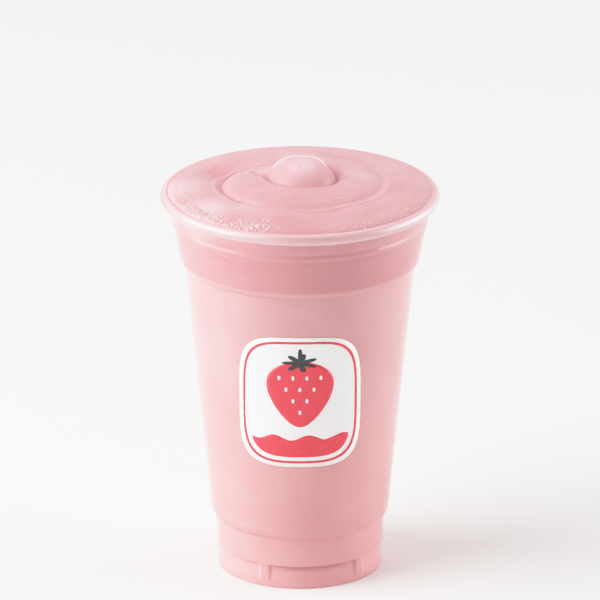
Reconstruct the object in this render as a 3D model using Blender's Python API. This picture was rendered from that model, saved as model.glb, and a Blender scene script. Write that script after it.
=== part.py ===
"""A strawberry smoothie in its clear plastic cup.

Units are metres, +Z is up and the cup's front faces -Y. The origin is the middle of the foot, on
the surface that the cup stands on. The cup is a thin turned shell with a rolled lip, and the
smoothie fills it to a swirled mound that stands above the lip.
"""

import math

import bmesh
import bpy
from mathutils import Vector, noise

MM = 0.001

# The cup as a whole
CUP_HEIGHT = 139.0 * MM
LIP_RADIUS = 49.0 * MM
WALL = 0.8 * MM
FILL_GAP = 0.3 * MM
MERGE_DISTANCE = 0.001 * MM

# The foot: a hollow ring under a raised floor
STAND_INNER_RADIUS = 26.6 * MM
STAND_OUTER_RADIUS = 28.15 * MM
FOOT_RADIUS = 29.05 * MM
FOOT_ROUNDING = 0.9 * MM
FOOT_STEPS = 3
FLOOR_RADIUS = 25.2 * MM
FLOOR_UNDERSIDE = 3.0 * MM
FOOT_RING_MITRE = 0.5

# Shallow panels around the foot, parted by narrow ribs
PANELS = 5
PANEL_MIDDLE = math.radians(-79.6)
PANEL_HALF_ANGLE = math.radians(31.5)
PANEL_SIDE_ANGLE = math.radians(1.5)
PANEL_COLUMNS = 12
PANEL_DEPTH = 0.8 * MM
PANEL_TOP = 8.8 * MM
PANEL_FLOOR_TOP = 8.0 * MM
PANEL_FADE = 1.4 * MM
PANEL_REACH = 26.8 * MM

# Outside of the wall above the foot's rounding: height, radius
OUTER_WALL = [
    (2.4 * MM, 29.05 * MM),
    (5.0 * MM, 29.15 * MM),
    (PANEL_FLOOR_TOP, 29.3 * MM),
    (PANEL_TOP, 29.5 * MM),
    (19.0 * MM, 29.8 * MM),
    (20.0 * MM, 30.85 * MM),
    (24.0 * MM, 31.65 * MM),
    (112.5 * MM, 40.45 * MM),
    (113.8 * MM, 41.8 * MM),
    (115.6 * MM, 42.4 * MM),
    (125.0 * MM, 43.9 * MM),
    (126.4 * MM, 44.4 * MM),
    (127.6 * MM, 44.4 * MM),
    (128.9 * MM, 45.0 * MM),
    (130.4 * MM, 44.5 * MM),
    (131.7 * MM, 45.05 * MM),
    (134.4 * MM, 45.3 * MM),
]

# Rolled lip: an oval bead around the mouth
LIP_BEAD_WIDTH = 3.8 * MM
LIP_BEAD_HEIGHT = 4.0 * MM
LIP_STEPS = 8
LIP_START = math.radians(-135.0)
LIP_TURN = math.radians(45.0)

# The mound of smoothie above the mouth
MOUND_RADIUS = 45.0 * MM
MOUND_EDGE = 138.4 * MM
MOUND_RISE = 4.6 * MM
MOUND_ROUNDNESS = 0.42
SWELL_RISE = 3.4 * MM
SWELL_SPREAD = 19.0 * MM
KNOB_RISE = 2.8 * MM
KNOB_SPREAD = 10.5 * MM
KNOB_STEEPNESS = 4.6
KNOB_CENTRE = (0.5 * MM, 1.0 * MM)
KNOB_TILT = 0.03 / MM
HOLLOW_CENTRE = (-28.0 * MM, 14.0 * MM)
HOLLOW_DEPTH = 1.6 * MM
HOLLOW_SPREAD = 8.0 * MM
RIPPLE_LENGTH = 8.0 * MM
RIPPLE_HEIGHT = 0.3 * MM
EDGE_RING = 1.8 * MM
LAST_RING = 2.0 * MM
COARSE_RING = 2.3 * MM
FINE_RING = 1.15 * MM
FINE_REACH = 3.5 * MM

# The groove that winds clockwise in to the knob, by the degrees turned from its outer end
GROOVE_START = math.radians(112.0)
GROOVE_SWEEP = 678.0
GROOVE_STEP = 3.0
OUTER_COIL_RADIUS = 28.0 * MM
SWIRL_SHIFT = 0.7 * MM
OUTER_END_FLARE = 12.3 * MM
OUTER_END_FADE = 22.0
COIL_CROSSING = (305.0, 405.0)
INNER_COIL_RADIUS = 12.4 * MM
INNER_COIL_TIGHTENING = 0.8 * MM
INNER_END_FLARE = 6.5 * MM
INNER_END_TURN = (648.0, 678.0)
GROOVE_DEPTHS = [(0, 0.0), (60, 0.8), (200, 0.9), (300, 2.5), (400, 3.0), (480, 3.0), (562, 1.4), (640, 1.5), (678, 0.8)]
GROOVE_INNER_WIDTH = 2.2 * MM
GROOVE_OUTER_WIDTHS = [(0, 2.6), (200, 2.6), (305, 7.0), (360, 8.0), (410, 2.8), (678, 2.6)]
GROOVE_SHARPNESS = 1.3

# Beyond its inner end the groove runs straight out and fades
SPUR_LENGTH = 6.5 * MM
SPUR_STEPS = 5

# Colours and finishes: colour, roughness, alpha
CLEAR_PLASTIC = ((0.92, 0.92, 0.93), 0.06, 0.3)
SMOOTHIE_PINK = ((0.72, 0.36, 0.37), 0.4, 1.0)
CUP_CREASE = math.radians(35.0)
SMOOTHIE_CREASE = math.radians(60.0)


def smooth_step(value, low, high):
    """Rises smoothly from 0 at low to 1 at high."""
    t = min(max((value - low) / (high - low), 0.0), 1.0)
    return t * t * (3.0 - 2.0 * t)


def between(value, knots):
    """Reads a broken line, given as (place, height) pairs, at a place."""
    for (a, low), (b, high) in zip(knots, knots[1:]):
        if value <= b:
            return low + (high - low) * (value - a) / (b - a)
    return knots[-1][1]


def column_angles():
    """The angles of the mesh's columns: even across each panel, with one more on each rib's edges."""
    rib_edge = PANEL_HALF_ANGLE + PANEL_SIDE_ANGLE
    step = 2.0 * PANEL_HALF_ANGLE / (PANEL_COLUMNS - 1)
    across = [-rib_edge] + [step * i - PANEL_HALF_ANGLE for i in range(PANEL_COLUMNS)] + [rib_edge]
    return [PANEL_MIDDLE + math.tau * panel / PANELS + a for panel in range(PANELS) for a in across]


def panel_recess(height, angle):
    """How far the foot's panels set the wall back at a height and an angle."""
    if height >= PANEL_TOP or height <= PANEL_FADE:
        return 0.0
    pitch = math.tau / PANELS
    from_middle = abs((angle - PANEL_MIDDLE + pitch / 2.0) % pitch - pitch / 2.0)
    if from_middle > PANEL_HALF_ANGLE + PANEL_SIDE_ANGLE / 2.0:
        return 0.0
    if height > PANEL_FLOOR_TOP:
        return PANEL_DEPTH * (PANEL_TOP - height) / (PANEL_TOP - PANEL_FLOOR_TOP)
    return PANEL_DEPTH * (height - PANEL_FADE) / (PANEL_FLOOR_TOP - PANEL_FADE)


def groove_radius(turned):
    """The groove's distance from the axis, after a number of degrees from its outer end."""
    outer = OUTER_COIL_RADIUS + OUTER_END_FLARE * math.exp(-turned / OUTER_END_FADE)
    inward = smooth_step(turned, *COIL_CROSSING)
    tightened = INNER_COIL_TIGHTENING * smooth_step(turned, COIL_CROSSING[1], INNER_END_TURN[0])
    opened = INNER_END_FLARE * smooth_step(turned, *INNER_END_TURN)
    inner = INNER_COIL_RADIUS - tightened + opened
    return outer + (inner - outer) * inward


def groove_line():
    """Points along the groove: x, y, radius, depth and the width of its outer slope."""
    turns = [i * GROOVE_STEP for i in range(int(GROOVE_SWEEP / GROOVE_STEP) + 1)]
    spur = [i / SPUR_STEPS for i in range(1, SPUR_STEPS + 1)]
    line = []
    for turned, beyond in [(turned, 0.0) for turned in turns] + [(GROOVE_SWEEP, share) for share in spur]:
        radius = groove_radius(turned) + SPUR_LENGTH * beyond
        angle = GROOVE_START - math.radians(turned)
        depth = between(turned, GROOVE_DEPTHS) * MM * (1.0 - beyond)
        slope = between(turned, GROOVE_OUTER_WIDTHS) * MM
        x = radius * math.cos(angle) + SWIRL_SHIFT
        line.append((x, radius * math.sin(angle), radius, depth, slope))
    return line


def mound_height(x, y, line):
    """Height of the smoothie's surface above the table."""
    radius = math.hypot(x, y)
    from_knob = math.hypot(x - KNOB_CENTRE[0], y - KNOB_CENTRE[1])
    crown = MOUND_RISE * max(1.0 - (radius / MOUND_RADIUS) ** 2, 0.0) ** MOUND_ROUNDNESS
    swell = SWELL_RISE * math.exp(-((radius / SWELL_SPREAD) ** 2))
    tilt = 1.0 + KNOB_TILT * (y - KNOB_CENTRE[1])
    knob = KNOB_RISE * tilt * math.exp(-((from_knob / KNOB_SPREAD) ** KNOB_STEEPNESS))
    from_hollow = math.hypot(x - HOLLOW_CENTRE[0], y - HOLLOW_CENTRE[1])
    hollow = HOLLOW_DEPTH * math.exp(-((from_hollow / HOLLOW_SPREAD) ** 2))
    ripple = RIPPLE_HEIGHT * noise.noise(Vector((x, y, 0.0)) / RIPPLE_LENGTH)
    from_swirl = math.hypot(x - SWIRL_SHIFT, y)
    cut = 0.0
    for groove_x, groove_y, groove_r, depth, slope in line:
        away = math.hypot(x - groove_x, y - groove_y)
        width = GROOVE_INNER_WIDTH if from_swirl < groove_r else slope
        cut = max(cut, depth * math.exp(-((away / width) ** GROOVE_SHARPNESS)))
    return MOUND_EDGE + crown + swell + knob + ripple - cut - hollow


def mound_rings():
    """Radii of the mound's rings from the edge inwards, closer together where the groove runs."""
    rings = []
    radius = MOUND_RADIUS - EDGE_RING
    while radius > LAST_RING:
        rings.append(radius)
        from_groove = min(abs(radius - OUTER_COIL_RADIUS), abs(radius - INNER_COIL_RADIUS))
        radius -= FINE_RING if from_groove < FINE_REACH else COARSE_RING
    return rings


def cup_profile():
    """The cup's cross-section as (radius, height), from the floor's underside round to its top."""
    outside = [(0.0, FLOOR_UNDERSIDE), (FLOOR_RADIUS, FLOOR_UNDERSIDE), (STAND_INNER_RADIUS, 0.0)]
    for i in range(FOOT_STEPS + 1):
        turn = math.pi / 2.0 * i / FOOT_STEPS
        across = FOOT_RADIUS - FOOT_ROUNDING * (1.0 - math.sin(turn))
        outside.append((across, FOOT_ROUNDING * (1.0 - math.cos(turn))))
    outside += [(radius, height) for height, radius in OUTER_WALL]
    lip = []
    for i in range(LIP_STEPS):
        turn = LIP_START + i * LIP_TURN
        across = LIP_RADIUS - LIP_BEAD_WIDTH / 2.0 * (1.0 - math.cos(turn))
        lip.append((across, CUP_HEIGHT - LIP_BEAD_HEIGHT / 2.0 * (1.0 - math.sin(turn))))
    return outside + lip + fill_profile(WALL)[::-1]


def fill_profile(inset):
    """The cup's inside as (radius, height), from the middle of the floor up, an inset from its outside."""
    floor = FLOOR_UNDERSIDE + inset
    slope = inset * FOOT_RING_MITRE
    inside = [
        (0.0, floor),
        (FLOOR_RADIUS - slope, floor),
        (STAND_INNER_RADIUS + slope, inset),
        (STAND_OUTER_RADIUS - slope, inset),
    ]
    return inside + [(radius - inset, height) for height, radius in OUTER_WALL]


def smoothie_profile():
    """The smoothie's cross-section as (radius, height), from its bottom up the wall and in to the knob."""
    side = fill_profile(WALL + FILL_GAP)
    edge = LIP_RADIUS - LIP_BEAD_WIDTH - FILL_GAP
    return side + [(radius, CUP_HEIGHT) for radius in [edge] + mound_rings() + [0.0]]


def turned_mesh(name, profile):
    """Spins a cross-section about the axis, sets its columns at their angles and lets in the panels."""
    angles = column_angles()
    bm = bmesh.new()
    points = [bm.verts.new((radius, 0.0, height)) for radius, height in profile]
    edges = [bm.edges.new(pair) for pair in zip(points, points[1:])]
    bmesh.ops.spin(
        bm,
        geom=points + edges,
        cent=(0.0, 0.0, 0.0),
        axis=(0.0, 0.0, 1.0),
        angle=math.tau,
        steps=len(angles),
        use_merge=True,
    )
    bmesh.ops.remove_doubles(bm, verts=bm.verts, dist=MERGE_DISTANCE)
    for vert in bm.verts:
        radius = math.hypot(vert.co.x, vert.co.y)
        if radius < MERGE_DISTANCE:
            continue
        column = round(math.atan2(vert.co.y, vert.co.x) / math.tau * len(angles)) % len(angles)
        angle = angles[column]
        if radius > PANEL_REACH:
            radius -= panel_recess(vert.co.z, angle)
        vert.co.x = radius * math.cos(angle)
        vert.co.y = radius * math.sin(angle)
    bmesh.ops.recalc_face_normals(bm, faces=bm.faces)
    mesh = bpy.data.meshes.new(name)
    bm.to_mesh(mesh)
    bm.free()
    return mesh


def add_object(name, mesh, material, crease):
    """Puts a mesh in the scene, smoothly shaded but for its creases."""
    mesh.shade_smooth()
    mesh.set_sharp_from_angle(angle=crease)
    mesh.materials.append(material)
    piece = bpy.data.objects.new(name, mesh)
    bpy.context.scene.collection.objects.link(piece)
    return piece


def plain_material(name, finish):
    """A Principled material of one colour, roughness and alpha."""
    colour, roughness, alpha = finish
    material = bpy.data.materials.new(name)
    material.use_nodes = True
    shader = material.node_tree.nodes["Principled BSDF"]
    shader.inputs["Base Color"].default_value = (*colour, 1.0)
    shader.inputs["Roughness"].default_value = roughness
    shader.inputs["Metallic"].default_value = 0.0
    shader.inputs["Alpha"].default_value = alpha
    return material


def build_cup():
    """The clear cup: a shell with a raised floor, panelled foot, stepped neck and rolled lip."""
    plastic = plain_material("clear_plastic", CLEAR_PLASTIC)
    return add_object("cup", turned_mesh("cup", cup_profile()), plastic, CUP_CREASE)


def build_smoothie():
    """The smoothie: it fills the cup, and its top is a swirl that ends in a knob."""
    mesh = turned_mesh("smoothie", smoothie_profile())
    wall_top = CUP_HEIGHT - LIP_BEAD_HEIGHT / 2.0
    line = groove_line()
    for vert in mesh.vertices:
        if vert.co.z > wall_top:
            vert.co.z = mound_height(vert.co.x, vert.co.y, line)
    drink = plain_material("strawberry_smoothie", SMOOTHIE_PINK)
    return add_object("smoothie", mesh, drink, SMOOTHIE_CREASE)


def main():
    """Clears the scene and builds the cup and the smoothie."""
    for thing in list(bpy.data.objects):
        bpy.data.objects.remove(thing, do_unlink=True)
    build_cup()
    build_smoothie()


main()
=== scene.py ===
"""Looks of a strawberry smoothie in its clear plastic cup.

Units are metres, +Z is up and the cup's printed front faces -Y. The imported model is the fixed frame:
every piece here rides on its one body, and stands in the same place and at the same size as its solid.
"""

import logging
import math
from dataclasses import dataclass, field
from enum import Enum
from typing import Mapping, Sequence

import bmesh
import bpy
import numpy as np
from bpy.types import Material, Mesh, Node, NodeSocket, NodeTree, Object
from mathutils import Matrix, Vector, noise


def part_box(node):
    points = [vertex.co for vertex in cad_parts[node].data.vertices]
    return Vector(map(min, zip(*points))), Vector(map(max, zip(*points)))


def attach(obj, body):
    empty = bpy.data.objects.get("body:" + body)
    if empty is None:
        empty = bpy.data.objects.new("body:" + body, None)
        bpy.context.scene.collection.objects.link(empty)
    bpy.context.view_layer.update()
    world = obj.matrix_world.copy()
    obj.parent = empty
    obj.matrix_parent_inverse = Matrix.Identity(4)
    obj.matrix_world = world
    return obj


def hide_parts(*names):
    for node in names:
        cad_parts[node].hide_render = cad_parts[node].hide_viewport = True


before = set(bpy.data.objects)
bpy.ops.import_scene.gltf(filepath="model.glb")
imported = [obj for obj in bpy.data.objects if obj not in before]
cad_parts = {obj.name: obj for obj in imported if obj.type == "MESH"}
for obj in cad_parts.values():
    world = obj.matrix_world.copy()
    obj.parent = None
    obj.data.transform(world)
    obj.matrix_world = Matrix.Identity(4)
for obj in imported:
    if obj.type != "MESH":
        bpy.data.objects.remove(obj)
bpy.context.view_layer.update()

MM = 0.001
BODY = "root"

log = logging.getLogger("smoothie")

Triple = tuple[float, float, float]
Colour = Triple
Pair = tuple[float, float]
Knots = Sequence[Pair]
Patch = tuple[float, float, float, float, float]


class Slot(Enum):
    """The record's material slots that the pieces take their finish from."""

    CLEAR_PLASTIC = "clear_plastic"
    SMOOTHIE = "strawberry_smoothie"
    FROTH = "froth"
    FLECKS = "fruit_flecks"
    WHITE_PRINT = "white_print"
    RED_PRINT = "red_print"
    DARK_PRINT = "dark_print"


# Small sums


def in_mm(*points: Sequence[float]) -> tuple[tuple[float, ...], ...]:
    """Turns points given in millimetres into metres."""
    return tuple(tuple(value * MM for value in point) for point in points)


def smooth_step(value: np.ndarray | float, low: float, high: float) -> np.ndarray | float:
    """Rises smoothly from 0 at low to 1 at high."""
    t = np.clip((value - low) / (high - low), 0.0, 1.0)
    return t * t * (3.0 - 2.0 * t)


def between(value: np.ndarray | float, knots: Knots) -> np.ndarray:
    """Reads a broken line, given as (place, height) pairs, at each value."""
    places, heights = zip(*knots)
    return np.interp(value, places, heights)


def bell(away: np.ndarray, width: np.ndarray | float, power: float = 2) -> np.ndarray:
    """Falls smoothly from 1 in the middle to 0 well beyond a width."""
    return np.exp(-((away / width) ** power))


def rounded_line(points: Knots, radius: float, steps: int = 4, longest: float = 4.0 * MM) -> np.ndarray:
    """Rounds the corners of an open line and cuts its long stretches up.

    Args:
        points: the line's corners.
        radius: how far from a corner its rounding begins, at most.
        steps: the number of pieces in each rounding.
        longest: the longest stretch that stays whole.

    Returns:
        The finer line, as rows of two numbers.
    """
    most = 0.45
    line = [np.array(p, float) for p in points]
    fine = [line[0]]
    for before, corner, after in zip(line, line[1:], line[2:]):
        into, out = corner - before, after - corner
        reach = min(radius, most * np.linalg.norm(into), most * np.linalg.norm(out))
        start = corner - into / np.linalg.norm(into) * reach
        end = corner + out / np.linalg.norm(out) * reach
        for t in np.linspace(0.0, 1.0, steps + 1):
            fine.append((1 - t) ** 2 * start + 2 * t * (1 - t) * corner + t**2 * end)
    fine.append(line[-1])
    even = [fine[0]]
    for point in fine[1:]:
        pieces = max(1, math.ceil(np.linalg.norm(point - even[-1]) / longest))
        step = (point - even[-1]) / pieces
        even += [even[-1] + step * (i + 1) for i in range(pieces)]
    return np.array(even)


# Meshes


def new_mesh(points: list, faces: list) -> Mesh:
    """Makes a mesh with its faces turned out and smoothly shaded.

    Args:
        points: the corners as x, y, z.
        faces: the faces, as numbers of their corners.

    Returns:
        The mesh.
    """
    mesh = bpy.data.meshes.new("piece")
    mesh.from_pydata(points, [], faces)
    bm = bmesh.new()
    bm.from_mesh(mesh)
    bmesh.ops.recalc_face_normals(bm, faces=bm.faces)
    bm.to_mesh(mesh)
    bm.free()
    mesh.shade_smooth()
    return mesh


def grid_mesh(rows: np.ndarray, poles: Sequence[Sequence[float]] = ()) -> Mesh:
    """Makes a closed mesh from rows of points that each run round once.

    Args:
        rows: points as [row, column, xyz]; the last column joins the first.
        poles: the points that close the first and the last row; without them the last row joins the first.

    Returns:
        The mesh.
    """
    count, columns = rows.shape[:2]
    places = rows.reshape(-1, 3).tolist()
    index = np.arange(count * columns).reshape(count, columns)
    beside = np.roll(index, -1, axis=1)
    corners = index, beside, np.roll(beside, -1, 0), np.roll(index, -1, 0)
    steps = count - 1 if poles else count
    faces = np.stack([corner[:steps] for corner in corners], axis=-1).reshape(-1, 4).tolist()
    if poles:
        first, last = len(places), len(places) + 1
        places += [list(pole) for pole in poles]
        faces += [[first, int(b), int(a)] for a, b in zip(index[0], beside[0])]
        faces += [[last, int(a), int(b)] for a, b in zip(index[-1], beside[-1])]
    return new_mesh(places, faces)


def balls_mesh(detail: int, places: Sequence[Matrix]) -> Mesh:
    """Joins many placed balls into one mesh.

    Args:
        detail: how finely each ball is divided.
        places: for each ball, the matrix that makes it from one of radius 1.

    Returns:
        The mesh.
    """
    bm = bmesh.new()
    bmesh.ops.create_icosphere(bm, subdivisions=detail, radius=1.0)
    corners = np.array([(*v.co, 1.0) for v in bm.verts], float)
    triangles = np.array([[v.index for v in f.verts] for f in bm.faces])
    bm.free()
    placed = np.vstack([(corners @ np.array(m, float).T)[:, :3] for m in places])
    faces = np.vstack([triangles + len(corners) * i for i in range(len(places))])
    return new_mesh(placed.tolist(), faces.tolist())


def add_object(name: str, data: bpy.types.ID) -> Object:
    """Puts a new object in the scene.

    Args:
        name: the object's name.
        data: its mesh, light or camera.

    Returns:
        The new object.
    """
    thing = bpy.data.objects.new(name, data)
    bpy.context.scene.collection.objects.link(thing)
    return thing


def add_piece(name: str, mesh: Mesh, finish: Material) -> Object:
    """Puts a piece of the object in the scene, on its body.

    Args:
        name: the piece's name.
        mesh: its mesh, already in place.
        finish: its material.

    Returns:
        The new object.
    """
    mesh.name = name
    mesh.materials.append(finish)
    piece = add_object(name, mesh)
    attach(piece, BODY)
    log.info("%s: %d faces", name, len(mesh.polygons))
    return piece


# Shader helpers


class NodeSheet:
    """A node tree, with short calls to add nodes and to join them."""

    def __init__(self, tree: NodeTree) -> None:
        """Keeps the tree that the calls work on."""
        self.tree = tree

    def join(self, end: NodeSocket, value: object) -> None:
        """Sets an input to a value, or joins it to an output.

        Args:
            end: the input.
            value: a number, a colour or an output.
        """
        if isinstance(value, NodeSocket):
            self.tree.links.new(value, end)
        elif end.type == "RGBA" and len(value) == 3:
            end.default_value = (*value, 1.0)
        else:
            end.default_value = value

    def feed(self, node: Node, *values: object, **named: object) -> Node:
        """Feeds a node's inputs.

        Args:
            node: the node.
            *values: values or outputs for its first inputs, in order.
            **named: more of them by input name, with _ for a space.

        Returns:
            The same node.
        """
        for place, value in enumerate(values):
            self.join(node.inputs[place], value)
        for name, value in named.items():
            self.join(node.inputs[name.replace("_", " ")], value)
        return node

    def add(self, kind: str, settings: Mapping | None = None, *values: object, **named: object) -> Node:
        """Adds a node and feeds its inputs.

        Args:
            kind: the node's type name, without its ShaderNode start.
            settings: the node's own properties.
            *values: values or outputs for its first inputs, in order.
            **named: more of them by input name, with _ for a space.

        Returns:
            The new node.
        """
        node = self.tree.nodes.new("ShaderNode" + kind)
        for key, value in (settings or {}).items():
            setattr(node, key, value)
        return self.feed(node, *values, **named)

    def math(self, operation: str, *values: object) -> NodeSocket:
        """Adds a Math node and returns its result."""
        return self.add("Math", {"operation": operation}, *values).outputs[0]

    def vector(self, operation: str, *values: object) -> NodeSocket:
        """Adds a Vector Math node and returns its result, a vector or a number."""
        results = self.add("VectorMath", {"operation": operation}, *values).outputs
        return results["Value" if operation in ("DISTANCE", "LENGTH", "DOT_PRODUCT") else "Vector"]

    def blend(self, share: object, first: object, second: object) -> NodeSocket:
        """Mixes two colours.

        Args:
            share: how much of the second there is.
            first: the first colour.
            second: the second colour.

        Returns:
            The mixed colour.
        """
        node = self.add("Mix", {"data_type": "RGBA"})
        for place, value in ((0, share), (6, first), (7, second)):
            self.join(node.inputs[place], value)
        return node.outputs[2]

    def mix(self, share: object, first: Node, second: Node) -> Node:
        """Mixes two shaders and returns the node."""
        return self.add("MixShader", None, share, first.outputs[0], second.outputs[0])

    def ramp(self, value: object, low: float, high: float) -> NodeSocket:
        """Takes a value from low to high onto 0 to 1, smoothly, and returns the result."""
        settings = {"interpolation_type": "SMOOTHSTEP"}
        return self.add("MapRange", settings, Value=value, From_Min=low, From_Max=high).outputs[0]

    def where(self) -> NodeSocket:
        """Returns the place on the piece."""
        return self.add("TexCoord").outputs["Object"]

    def height(self) -> NodeSocket:
        """Returns the height on the piece."""
        return self.add("SeparateXYZ", Vector=self.where()).outputs["Z"]

    def clouds(self, scale: object, detail: float) -> NodeSocket:
        """Adds soft noise and returns its strength."""
        return self.add("TexNoise", Vector=self.where(), Scale=scale, Detail=detail).outputs["Fac"]

    def flat_distance(self, middle: Pair = (0.0, 0.0)) -> NodeSocket:
        """Returns how far the place is from an upright axis at (x, y)."""
        away = self.vector("SUBTRACT", self.where(), (*middle, 0.0))
        return self.vector("LENGTH", self.vector("MULTIPLY", away, (1.0, 1.0, 0.0)))

    def nearness(self, middle: Sequence[float], near: float, far: float) -> NodeSocket:
        """Masks a soft ball round a point: 1 as far as near, and 0 beyond far."""
        return self.ramp(self.vector("DISTANCE", self.where(), tuple(middle)), far, near)


class SharedEffect:
    """A shader node group that several finishes place with values of their own.

    Its inputs and outputs are given by name, each with its value at first: a number or a colour.
    """

    title = ""
    inputs: Mapping[str, object] = {}
    outputs: Mapping[str, object] = {}

    def group(self) -> NodeTree:
        """Makes the group on its first use, and finds it again after that.

        Returns:
            The group's node tree.
        """
        if self.title in bpy.data.node_groups:
            return bpy.data.node_groups[self.title]
        tree = bpy.data.node_groups.new(self.title, "ShaderNodeTree")
        for way, sockets in (("INPUT", self.inputs), ("OUTPUT", self.outputs)):
            for name, value in sockets.items():
                kind = "NodeSocketColor" if isinstance(value, tuple) else "NodeSocketFloat"
                tree.interface.new_socket(name=name, in_out=way, socket_type=kind).default_value = value
        sheet = NodeSheet(tree)
        results = self.wire(sheet, tree.nodes.new("NodeGroupInput").outputs)
        sheet.feed(tree.nodes.new("NodeGroupOutput"), **results)
        return tree

    def wire(self, sheet: NodeSheet, given: Mapping[str, NodeSocket]) -> dict[str, NodeSocket]:
        """Works the group's outputs out of its inputs."""
        raise NotImplementedError

    def place(self, sheet: NodeSheet, **values: object) -> Mapping[str, NodeSocket]:
        """Places the group in a material.

        Args:
            sheet: the material's nodes.
            **values: the group's inputs by name, with _ for a space.

        Returns:
            The group's outputs.
        """
        node = sheet.tree.nodes.new("ShaderNodeGroup")
        node.node_tree = self.group()
        return sheet.feed(node, **values).outputs


WHITE = (1.0, 1.0, 1.0, 1.0)


class BlendedColour(SharedEffect):
    """Cloudy colour of blended fruit and milk: soft clouds, and small specks of pulp."""

    title = "blended_colour"
    inputs = {
        "Light": WHITE,
        "Deep": WHITE,
        "Pulp": WHITE,
        "Cloud Scale": 60.0,
        "Pulp Scale": 900.0,
        "Pulp Share": 0.3,
    }
    outputs = {"Colour": WHITE}
    cloud_detail = 3.0
    cloud_range: Pair = (0.35, 0.65)
    pulp_detail = 2.0
    pulp_range: Pair = (0.56, 0.76)

    def wire(self, sheet: NodeSheet, given: Mapping[str, NodeSocket]) -> dict[str, NodeSocket]:
        """Joins clouds and specks into one colour.

        Args:
            sheet: the group's nodes.
            given: its inputs.

        Returns:
            Its outputs, by name.
        """
        mask = sheet.ramp(sheet.clouds(given["Cloud Scale"], self.cloud_detail), *self.cloud_range)
        base = sheet.blend(mask, given["Light"], given["Deep"])
        specks = sheet.ramp(sheet.clouds(given["Pulp Scale"], self.pulp_detail), *self.pulp_range)
        share = sheet.math("MULTIPLY", specks, given["Pulp Share"])
        return {"Colour": sheet.blend(share, base, given["Pulp"])}


class FineBubbles(SharedEffect):
    """Relief of tiny air bubbles in a blended drink, for the Height of a Bump node."""

    title = "fine_bubbles"
    inputs = {"Bubble Scale": 1500.0, "Grain Scale": 700.0}
    outputs = {"Height": 0.0}
    pit_range: Pair = (0.1, 0.5)
    pit_depth = 0.5
    grain_detail = 3.0

    def wire(self, sheet: NodeSheet, given: Mapping[str, NodeSocket]) -> dict[str, NodeSocket]:
        """Joins rounded cells and a soft grain.

        Args:
            sheet: the group's nodes.
            given: its inputs.

        Returns:
            Its outputs, by name.
        """
        cells = sheet.add("TexVoronoi", Vector=sheet.where(), Scale=given["Bubble Scale"])
        pits = sheet.ramp(cells.outputs["Distance"], *self.pit_range)
        grain = sheet.clouds(given["Grain Scale"], self.grain_detail)
        return {"Height": sheet.math("MULTIPLY_ADD", pits, self.pit_depth, grain)}


class HandlingHaze(SharedEffect):
    """Faint smudges and hazy patches that change a surface's roughness."""

    title = "handling_haze"
    inputs = {"Clean": 0.05, "Hazy": 0.15, "Patch Scale": 40.0}
    outputs = {"Roughness": 0.0, "Haze": 0.0}
    patch_detail = 4.0
    patch_range: Pair = (0.4, 0.75)

    def wire(self, sheet: NodeSheet, given: Mapping[str, NodeSocket]) -> dict[str, NodeSocket]:
        """Spreads the roughness between clean and hazy.

        Args:
            sheet: the group's nodes.
            given: its inputs.

        Returns:
            Its outputs, by name.
        """
        haze = sheet.ramp(sheet.clouds(given["Patch Scale"], self.patch_detail), *self.patch_range)
        spread = sheet.math("SUBTRACT", given["Hazy"], given["Clean"])
        return {"Roughness": sheet.math("MULTIPLY_ADD", haze, spread, given["Clean"]), "Haze": haze}


def new_material(name: str) -> tuple[Material, NodeSheet, Node]:
    """Makes a material.

    Args:
        name: the material's name.

    Returns:
        The material, its nodes and its Principled shader.
    """
    material = bpy.data.materials.new(name)
    material.use_nodes = True
    return material, NodeSheet(material.node_tree), material.node_tree.nodes["Principled BSDF"]


# Finishes


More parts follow.
